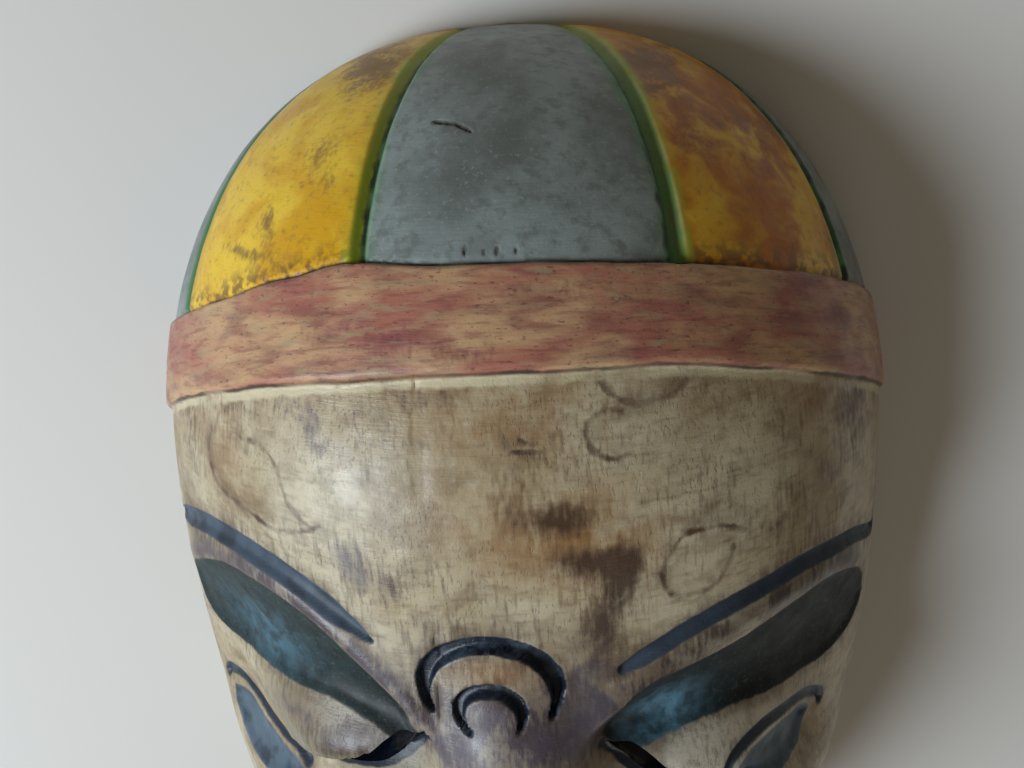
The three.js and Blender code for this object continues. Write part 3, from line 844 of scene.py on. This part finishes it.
class PaintBench:
    def __init__(self, name):
        self.material = bpy.data.materials.new(name)
        self.material.use_nodes = True
        self.tree = self.material.node_tree
        self.tree.nodes.clear()
        self.coordinates = self.tree.nodes.new("ShaderNodeTexCoord").outputs["Object"]

    def plug(self, socket, value):
        if isinstance(value, bpy.types.NodeSocket):
            self.tree.links.new(value, socket)
        else:
            socket.default_value = value

    def math(self, operation, first, second=0.0):
        node = self.tree.nodes.new("ShaderNodeMath")
        node.operation = operation
        self.plug(node.inputs[0], first)
        self.plug(node.inputs[1], second)
        return node.outputs[0]

    def mark(self, name):
        node = self.tree.nodes.new("ShaderNodeAttribute")
        node.attribute_name = name
        return node.outputs["Fac"]

    def stretched(self, stretch, turn=(0, 0, 0)):
        node = self.tree.nodes.new("ShaderNodeMapping")
        node.vector_type = "TEXTURE"
        self.plug(node.inputs["Vector"], self.coordinates)
        node.inputs["Scale"].default_value = [1 / value for value in stretch]
        node.inputs["Rotation"].default_value = turn
        return node.outputs["Vector"]

    def speckle(self, size, detail=3, stretch=None, turn=(0, 0, 0), distortion=0.0):
        node = self.tree.nodes.new("ShaderNodeTexNoise")
        self.plug(node.inputs["Vector"], self.stretched(stretch, turn) if stretch else self.coordinates)
        node.inputs["Scale"].default_value = 1000 / size
        node.inputs["Detail"].default_value = detail
        node.inputs["Distortion"].default_value = distortion
        return node.outputs["Fac"]

    def ramp(self, value, start, end, low=0.0, high=1.0):
        node = self.tree.nodes.new("ShaderNodeMapRange")
        node.interpolation_type = "SMOOTHSTEP"
        self.plug(node.inputs["Value"], value)
        node.inputs["From Min"].default_value = start
        node.inputs["From Max"].default_value = end
        node.inputs["To Min"].default_value = low
        node.inputs["To Max"].default_value = high
        return node.outputs["Result"]

    # 1 where a mark's distance is under the edge and 0 beyond it, with a hand-drawn waver
    def within(self, distance, edge=0.0, soft=0.25, waver=0.5, waverSize=2.5):
        if waver:
            shake = self.math("MULTIPLY", self.math("SUBTRACT", self.speckle(waverSize, 2), 0.5), 2 * waver)
            distance = self.math("ADD", distance, shake)
        return self.ramp(distance, edge - soft, edge + soft, 1.0, 0.0)

    def mix(self, under, over, factor):
        node = self.tree.nodes.new("ShaderNodeMix")
        node.data_type = "RGBA"
        self.plug(node.inputs[0], factor)
        self.plug(node.inputs[6], under)
        self.plug(node.inputs[7], over)
        return node.outputs[2]

    def finish(self, baseColour, roughness, height, bumpDistance, coat=0.0):
        shader = self.tree.nodes.new("ShaderNodeBsdfPrincipled")
        output = self.tree.nodes.new("ShaderNodeOutputMaterial")
        relief = self.tree.nodes.new("ShaderNodeBump")
        relief.inputs["Distance"].default_value = bumpDistance * mm
        self.plug(relief.inputs["Height"], height)
        self.plug(shader.inputs["Base Color"], baseColour)
        self.plug(shader.inputs["Roughness"], roughness)
        self.plug(shader.inputs["Normal"], relief.outputs["Normal"])
        shader.inputs["Coat Weight"].default_value = coat
        shader.inputs["Coat Roughness"].default_value = gloss["coatRoughness"]
        shader.inputs["Specular IOR Level"].default_value = gloss["specular"]
        self.tree.links.new(shader.outputs["BSDF"], output.inputs["Surface"])
        return self.material


wood = chips({
    "pale": (192, 180, 152), "middle": (160, 142, 108), "dark": (110, 88, 62),
    "warm": (140, 100, 56), "fleck": (58, 46, 38), "brown": (62, 42, 32),
    "purple": (84, 76, 84), "ring": (80, 54, 42), "rosy": (82, 73, 82),
    # On the next line the paler eyelid tone is painted light and the darker pink tone is painted shade
    "rosyShaded": (54, 46, 49), "lid": (126, 122, 106), "lidPaintedLight": (212, 206, 190),
    "bare": (206, 194, 160), "raw": (120, 92, 62), "rawDark": (70, 50, 34),
})


def bareWood(bench):
    mix, ramp, speckle = bench.mix, bench.ramp, bench.speckle
    tone = mix(wood["pale"], wood["middle"], ramp(speckle(30, 4, (1, 0.7, 1), distortion=0.5), 0.36, 0.62))
    tone = mix(tone, wood["dark"], ramp(speckle(12, 6, distortion=0.8), 0.46, 0.78, 0, 0.65))
    tone = mix(tone, wood["dark"], ramp(speckle(3.4, 5, (0.6, 1, 0.6)), 0.46, 0.72, 0, 0.4))
    tone = mix(tone, wood["dark"], ramp(speckle(1.2, 3, (0.25, 1, 0.25)), 0.5, 0.75, 0, 0.4))
    tone = mix(tone, wood["pale"], ramp(speckle(2.1, 4), 0.54, 0.75, 0, 0.45))
    return tone


paint = chips({
    "rose": (166, 106, 88), "bandTan": (192, 154, 114), "wine": (118, 62, 66),
    "bandLine": (50, 38, 36), "ochre": (232, 192, 52), "deepOchre": (214, 160, 22),
    "amber": (180, 102, 2), "capBrown": (122, 86, 48), "grey": (138, 148, 146),
    "darkGrey": (104, 110, 106), "greySpeck": (164, 166, 156), "green": (86, 132, 86),
    # On the next line the pale lip tone is a painted highlight, and the dark green line tone is painted shade
    # in the grooves
    "yellowGreen": (164, 180, 50), "grooveShadeGreen": (32, 42, 30), "grooveLipHighlight": (170, 170, 120),
    "browBlue": (66, 80, 94), "browBlueDark": (42, 52, 64),
    # The blue and sky-blue scoop tones on the next line are painted sheen and a painted reflection on the
    # thick brows
    "scoop": (20, 38, 37), "scoopSheen": (62, 98, 114), "scoopSkyReflection": (92, 138, 162),
    "scoopSpeck": (84, 104, 108), "scoopDark": (4, 13, 12),
    "leaf": (78, 96, 110), "leafDark": (50, 60, 72), "black": (13, 23, 38),
    "lipRed": (136, 62, 52),
})


def paintedWood():
    bench = PaintBench("paintedWood")
    mark, mix, ramp, within, speckle = bench.mark, bench.mix, bench.ramp, bench.within, bench.speckle
    times = lambda a, b: bench.math("MULTIPLY", a, b)
    plus = lambda a, b: bench.math("ADD", a, b)
    less = lambda a: bench.math("SUBTRACT", 1.0, a)
    smaller = lambda a, b: bench.math("MINIMUM", a, b)
    gapFrom = lambda a, at: bench.math("ABSOLUTE", bench.math("SUBTRACT", a, at))

    across = bench.tree.nodes.new("ShaderNodeSeparateXYZ")
    bench.plug(across.inputs[0], bench.coordinates)
    # The right side, which lies in shade; several tones below are painted darker or paler on it as painted
    # shade and painted light
    shadeSide = ramp(across.outputs["X"], 0.005, 0.035)

    # Bare wood with eyelids, pores and stains; the right eyelid is painted paler as painted light
    cloud = speckle(8, 6, distortion=0.8)
    streaks = speckle(0.9, 4, (1, 0.16, 1))   # upright grain
    ragged = plus(plus(times(cloud, 1.1), times(streaks, 0.7)), -0.4)
    tone = bareWood(bench)
    # Painted light: the eyelids are painted paler on the right side, where that lid faces the window light
    lidTone = mix(wood["lid"], wood["lidPaintedLight"], shadeSide)
    lidTone = mix(lidTone, wood["dark"], ramp(speckle(5, 5), 0.46, 0.72, 0, 0.6))
    tone = mix(tone, lidTone, ramp(mark("eyelid"), 0.35, 0.7, 0, 0.85))
    streaky = times(ramp(streaks, 0.5, 0.68, 0, 0.4), ramp(speckle(17, 3), 0.4, 0.6, 0.2, 1))
    tone = mix(tone, wood["fleck"], streaky)
    warm = plus(ramp(mark("bandFoot"), -16, -2, 0, 0.4), mark("warmStain"))
    tone = mix(tone, wood["warm"], times(times(warm, ramp(ragged, 0.3, 0.6, 0.3, 1)), 0.65))
    pores = times(ramp(speckle(0.44, 2, (1, 0.3, 1)), 0.59, 0.67), ramp(speckle(20, 3), 0.36, 0.6, 0.25, 1))
    tone = mix(tone, wood["fleck"], times(pores, 0.34))
    brown = ramp(plus(times(mark("brownStain"), 0.9), plus(ragged, times(speckle(1.6, 4), 0.4))), 0.84, 1.6)
    tone = mix(tone, wood["brown"], times(brown, 0.92))
    # Purple stains; the large spot right of the nose root is partly painted shade
    purple = ramp(plus(times(mark("purpleStainAndShade"), 0.9), ragged), 0.7, 1.25)
    tone = mix(tone, wood["purple"], times(purple, 0.75))
    ringEdge = plus(mark("ringLine"), times(plus(speckle(2.4, 4), -0.5), 2.2))
    ring = times(ramp(ringEdge, 0, 0.9, 1, 0), ramp(speckle(6, 3), 0.38, 0.6, 0.36, 0.95))
    tone = mix(tone, wood["ring"], ring)
    tone = mix(tone, wood["brown"], times(ramp(mark("ringLine"), 0.5, 3.5, 0.35, 0), ramp(cloud, 0.4, 0.6)))
    # Painted shade: the pink wood on the brow ridges and the nose root is painted darker on the right side
    rosy = mix(wood["rosy"], wood["rosyShaded"], shadeSide)
    tone = mix(tone, rosy, times(mark("rosyWood"), ramp(ragged, 0.35, 0.6, 0.6, 0.97)))
    cuts = smaller(mark("browGroove"), mark("thickBrow"))
    cuts = smaller(cuts, smaller(mark("arcPaint"), mark("leafLine")))
    tone = mix(tone, wood["brown"], times(ramp(cuts, 0, 3.5, 0.55, 0), ramp(ragged, 0.35, 0.65, 0.25, 1)))

    # Eyes, brows and arcs
    grooveBlue = mix(paint["browBlue"], paint["browBlueDark"], ramp(speckle(7, 5), 0.38, 0.66))
    # Painted shade: the brow groove is painted darker on the right side
    grooveBlue = mix(grooveBlue, paint["browBlueDark"], times(shadeSide, 0.6))
    inGroove = within(mark("browGroove"), 0.1, 0.25, 0.35)
    tone = mix(tone, grooveBlue, inGroove)
    # Painted sheen: blue highlights on the thick brows, with a painted sky-blue reflection on the right one
    sheenTone = mix(paint["scoopSheen"], paint["scoopSkyReflection"], shadeSide)
    sheenAmount = times(mark("blueSheen"), ramp(speckle(3, 5), 0.35, 0.6, 0.4, 1))
    scoopTone = mix(paint["scoop"], sheenTone, sheenAmount)
    scoopTone = mix(scoopTone, paint["scoopDark"], ramp(speckle(4, 5), 0.42, 0.72, 0, 0.7))
    # Painted shade: the thick brow is painted darker on the right side away from its sheen, and at the inner
    # end of the left brow
    scoopTone = mix(scoopTone, paint["scoopDark"], times(times(shadeSide, less(mark("blueSheen"))), 0.75))
    innerEndShade = times(ramp(across.outputs["X"], -0.034, -0.022), less(shadeSide))
    scoopTone = mix(scoopTone, paint["scoopDark"], times(innerEndShade, 0.85))
    scoopTone = mix(scoopTone, paint["scoopSpeck"], ramp(speckle(0.9, 5), 0.54, 0.78, 0, 0.4))
    onBrow = within(mark("thickBrow"), 0.0, 0.35, 0.5)
    tone = mix(tone, scoopTone, onBrow)
    leafTone = mix(paint["leaf"], paint["leafDark"], ramp(speckle(4, 4), 0.42, 0.7))
    tone = mix(tone, leafTone, within(mark("leafFill"), 0.1, 0.35, 0.3))
    tone = mix(tone, paint["leafDark"], within(mark("leafLine"), 1.5, 0.35, 0.3))
    arcTone = mix(paint["black"], paint["browBlue"], ramp(speckle(3, 4), 0.46, 0.75, 0, 0.8))
    tone = mix(tone, arcTone, within(mark("arcPaint"), 0.15, 0.25, 0.4))
    tone = mix(tone, paint["black"], within(mark("slitLine"), 1.1, 0.35, 0.5))

    # Mouth
    lipTone = mix(paint["lipRed"], paint["bandTan"], ramp(speckle(8, 7), 0.46, 0.76, 0, 0.75))
    onLips = times(within(mark("lips"), -0.2, 0.4, 0.6), ramp(speckle(1.2, 4), 0.3, 0.6, 1, 0.75))
    tone = mix(tone, lipTone, onLips)
    tone = mix(tone, paint["black"], within(mark("mouthLine"), 0.0, 0.3, 0.3))

    # Band
    def alongBand(size, detail, squeeze, distortion=0.0):
        return speckle(size, detail, (squeeze, 1, squeeze), (-cap["tilt"], 0, 0), distortion)

    bandTone = mix(paint["rose"], paint["bandTan"], ramp(alongBand(9, 6, 0.45, 0.4), 0.38, 0.64))
    bandTone = mix(bandTone, paint["wine"], ramp(alongBand(4.5, 6, 0.35), 0.46, 0.7, 0, 0.65))
    bandTone = mix(bandTone, paint["wine"], ramp(alongBand(1, 4, 0.16), 0.48, 0.7, 0, 0.5))
    bandTone = mix(bandTone, paint["wine"], times(ramp(plus(mark("wineStain"), ragged), 0.7, 1.3), 0.8))
    bandTone = mix(bandTone, wood["middle"], ramp(alongBand(1.5, 4, 0.2), 0.52, 0.72, 0, 0.65))
    bandTone = mix(bandTone, wood["fleck"], ramp(alongBand(0.5, 3, 0.4), 0.6, 0.7, 0, 0.5))
    aboveFoot = less(within(mark("bandFoot"), 0.0, 0.25, 0.35))
    # A pale strip just under the band: bare wood where the paint is worn, and partly a painted highlight on
    # the step's lit edge
    wornAndLitEdge = within(gapFrom(mark("bandFoot"), -1.1), 0.8, 0.5, 0.7)
    tone = mix(tone, wood["bare"], times(wornAndLitEdge, ramp(speckle(16, 2), 0.35, 0.55, 0.1, 0.8)))
    tone = mix(tone, bandTone, aboveFoot)
    # A dark line along the band's lower edge, partly painted shadow under the band's step
    footLineAndShadow = within(gapFrom(mark("bandFoot"), 0.1), 0.3, 0.25, 0.3)
    tone = mix(tone, paint["bandLine"], times(footLineAndShadow, ramp(speckle(20, 2), 0.35, 0.55, 0.3, 0.9)))

    # Cap
    greyTone = mix(paint["grey"], paint["darkGrey"], ramp(speckle(16, 6), 0.36, 0.68))
    greyTone = mix(greyTone, paint["darkGrey"], ramp(speckle(2.4, 6), 0.46, 0.68, 0, 0.7))
    greyTone = mix(greyTone, paint["greySpeck"], ramp(speckle(0.8, 3), 0.6, 0.7, 0, 0.4))
    ochreTone = mix(paint["ochre"], paint["deepOchre"], ramp(speckle(13, 6, distortion=0.5), 0.4, 0.64))
    # The yellow gores turn amber on the right side, partly painted shade; the brightOchre spots hold it back
    amber = times(shadeSide, ramp(plus(cloud, times(mark("brightOchre"), -0.5)), 0.25, 0.6, 0.15, 0.95))
    ochreTone = mix(ochreTone, paint["amber"], amber)
    groove = mark("goreGroove")
    ochreTone = mix(ochreTone, paint["amber"], times(ramp(groove, 2, 7, 0.4, 0), ramp(cloud, 0.35, 0.6)))
    worn = ramp(plus(times(mark("capWear"), 0.8), ragged), 0.66, 1.15)
    ochreTone = mix(ochreTone, paint["capBrown"], times(worn, 0.85))
    ochreTone = mix(ochreTone, paint["capBrown"], ramp(speckle(1.5, 6), 0.5, 0.8, 0, 0.5))
    nearEdge = times(ramp(mark("bandTop"), 0.5, 7, 0.9, 0), ramp(speckle(2.2, 5), 0.42, 0.6))
    ochreTone = mix(ochreTone, paint["capBrown"], nearEdge)
    capTone = mix(greyTone, ochreTone, ramp(mark("yellowGore"), -0.3, 0.3))
    edge = mark("yellowGore")   # above zero on the yellow side of each groove
    glaze = mix(paint["green"], paint["yellowGreen"], ramp(edge, -0.2, 0.8))
    spilt = times(within(groove, 3.2, 1.0, 0.9, 8), ramp(speckle(16, 3), 0.38, 0.6, 0.2, 0.9))
    capTone = mix(capTone, glaze, spilt)
    grooveTone = mix(glaze, paint["green"], shadeSide)
    capTone = mix(capTone, grooveTone, times(within(groove, 1.7, 0.4, 0.5), 0.85))
    # Painted highlight: a pale line along the lit lip of each groove on the right
    grooveLipHighlight = times(within(gapFrom(edge, 1.9), 0.25, 0.25, 0.3, 6), shadeSide)
    capTone = mix(capTone, paint["grooveLipHighlight"], times(grooveLipHighlight, ramp(speckle(9, 3), 0.36, 0.55, 0.1, 0.7)))
    # Painted shade: a dark green line along the shaded wall of each groove
    leftGrooveShade = times(within(gapFrom(edge, -0.1), 0.6, 0.4, 0.6), less(shadeSide))
    rightGrooveShade = times(within(gapFrom(edge, -1.7), 0.5, 0.45, 1.2, 4), shadeSide)
    grooveShadeLine = times(plus(leftGrooveShade, rightGrooveShade), ramp(speckle(5, 4), 0.34, 0.6, 0.5, 1))
    capTone = mix(capTone, paint["grooveShadeGreen"], grooveShadeLine)
    aboveTop = less(within(mark("bandTop"), 0.0, 0.2, 0.35))
    tone = mix(tone, capTone, aboveTop)
    topLine = within(gapFrom(mark("bandTop"), 0.3), 0.3, 0.25, 0.3)
    tone = mix(tone, paint["bandLine"], times(topLine, ramp(speckle(14, 2), 0.38, 0.58, 0.2, 0.85)))

    tone = mix(tone, wood["fleck"], times(within(mark("nicks"), 0.1, 0.2, 0.3, 1), 0.62))
    tone = mix(tone, paint["black"], ramp(mark("depthBelow"), 0.6, 2.5, 0, 0.8))

    fine = speckle(0.5, 3)
    chisel = speckle(0.4, 2, (0.06, 1, 0.3))
    height = plus(plus(times(fine, 0.4), times(chisel, 0.6)), times(speckle(3, 4), 1.2))
    height = bench.math("SUBTRACT", height, times(times(pores, less(aboveFoot)), 0.3))
    roughness = plus(ramp(speckle(5, 5), 0.3, 0.7, 0.35, 0.54), times(plus(onBrow, inGroove), 0.27))
    return bench.finish(tone, roughness, height, 0.09, gloss["coat"])


def rawWood():
    bench = PaintBench("rawWood")
    grain = bench.speckle(2.2, 4, (1, 0.05, 1))
    tone = bench.mix(wood["raw"], wood["rawDark"], bench.ramp(grain, 0.4, 0.68))
    tone = bench.mix(tone, wood["rawDark"], bench.ramp(bench.speckle(28, 4), 0.42, 0.7, 0, 0.8))
    tone = bench.mix(tone, wood["dark"], bench.ramp(bench.speckle(0.8, 3, (1, 0.1, 1)), 0.55, 0.7, 0, 0.5))
    fine = bench.math("MULTIPLY", bench.speckle(0.7, 3), 0.4)
    height = bench.math("ADD", bench.math("MULTIPLY", grain, 0.6), fine)
    return bench.finish(tone, bench.ramp(bench.speckle(9, 3), 0.3, 0.7, 0.6, 0.8), height, 0.15)


def paintMask(piece):
    piece.data.materials.clear()
    piece.data.materials.append(paintedWood())
    piece.data.materials.append(rawWood())
    below = readAll(piece.data.attributes["depthBelow"].data, "value")
    normals = readAll(piece.data.polygons, "normal", 3)
    corners = readAll(piece.data.loops, "vertex_index", 1, np.int32)
    starts = readAll(piece.data.polygons, "loop_start", 1, np.int32)
    shallowest = np.minimum.reduceat(below[corners], starts)
    onRim = (normals[:, 2] < -0.9) & (faceCentres(piece)[:, 2] < 0.5 * mm)
    bare = (shallowest > shell["bareBelow"]) | onRim
    piece.data.polygons.foreach_set("material_index", bare.astype(np.int32))
    piece.data.update()


paintMask(mask)
print("paint laid on")

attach(mask, "root")
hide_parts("mask")

# Floor, light and camera
bpy.ops.object.select_all(action="DESELECT")
bpy.ops.mesh.primitive_plane_add(size=6)
floor = bpy.context.object
floor.name = "floor"
floorPaint = PaintBench("floorPaint")
floor.data.materials.append(floorPaint.finish(colour(206, 202, 196), 0.8, floorPaint.speckle(30, 2), 0.05))

view = {
    "yaw": 0.0777, "tilt": 0.3616, "roll": -0.0618, "away": 188.52, "x": 1.053, "y": 40.437, "z": 50,
    "focus": 950, "imageWidth": 1024, "sensor": 36,
}


def addCamera():
    bpy.ops.object.camera_add()
    camera = bpy.context.object
    camera.data.sensor_width = view["sensor"]
    camera.data.lens = view["sensor"] * view["focus"] / view["imageWidth"]
    camera.data.clip_start = 0.01
    back = Vector((math.sin(view["yaw"]) * math.cos(view["tilt"]), math.sin(view["tilt"]),
                   math.cos(view["yaw"]) * math.cos(view["tilt"])))
    right = Vector((0, 1, 0)).cross(back).normalized()
    up = back.cross(right)
    turnedRight = right * math.cos(view["roll"]) + up * math.sin(view["roll"])
    turnedUp = up * math.cos(view["roll"]) - right * math.sin(view["roll"])
    place = (Vector((view["x"], view["y"] + head["lift"], view["z"])) + back * view["away"]) * mm
    matrix = Matrix((turnedRight, turnedUp, back)).transposed().to_4x4()
    matrix.translation = place
    camera.matrix_world = matrix
    bpy.context.scene.camera = camera


addCamera()

lights = {
    "windowLight": {"spot": (-0.64, -0.1, 0.68), "target": (0, 0.03, 0.05), "size": 0.45, "power": 9.5,
                    "colour": (0.84, 0.94, 1.04)},
    "footLight": {"spot": (0.3, -0.8, 0.45), "target": (0, 0, 0.05), "size": 0.5, "power": 0.8,
                  "colour": (1, 0.98, 0.95)},
}
room = {"colour": (1, 0.87, 0.66, 1), "strength": 0.14}


def addLight(name):
    lamp = lights[name]
    bpy.ops.object.light_add(type="AREA", location=lamp["spot"])
    light = bpy.context.object
    light.name = name
    light.data.shape = "DISK"
    light.data.size = lamp["size"]
    light.data.energy = lamp["power"]
    light.data.color = lamp["colour"]
    light.rotation_euler = (Vector(lamp["spot"]) - Vector(lamp["target"])).to_track_quat("Z", "Y").to_euler()


for name in lights:
    addLight(name)
world = bpy.data.worlds.new("room")
bpy.context.scene.world = world
world.use_nodes = True
world.node_tree.nodes["Background"].inputs["Color"].default_value = room["colour"]
world.node_tree.nodes["Background"].inputs["Strength"].default_value = room["strength"]
bpy.context.scene.view_settings.view_transform = "Standard"
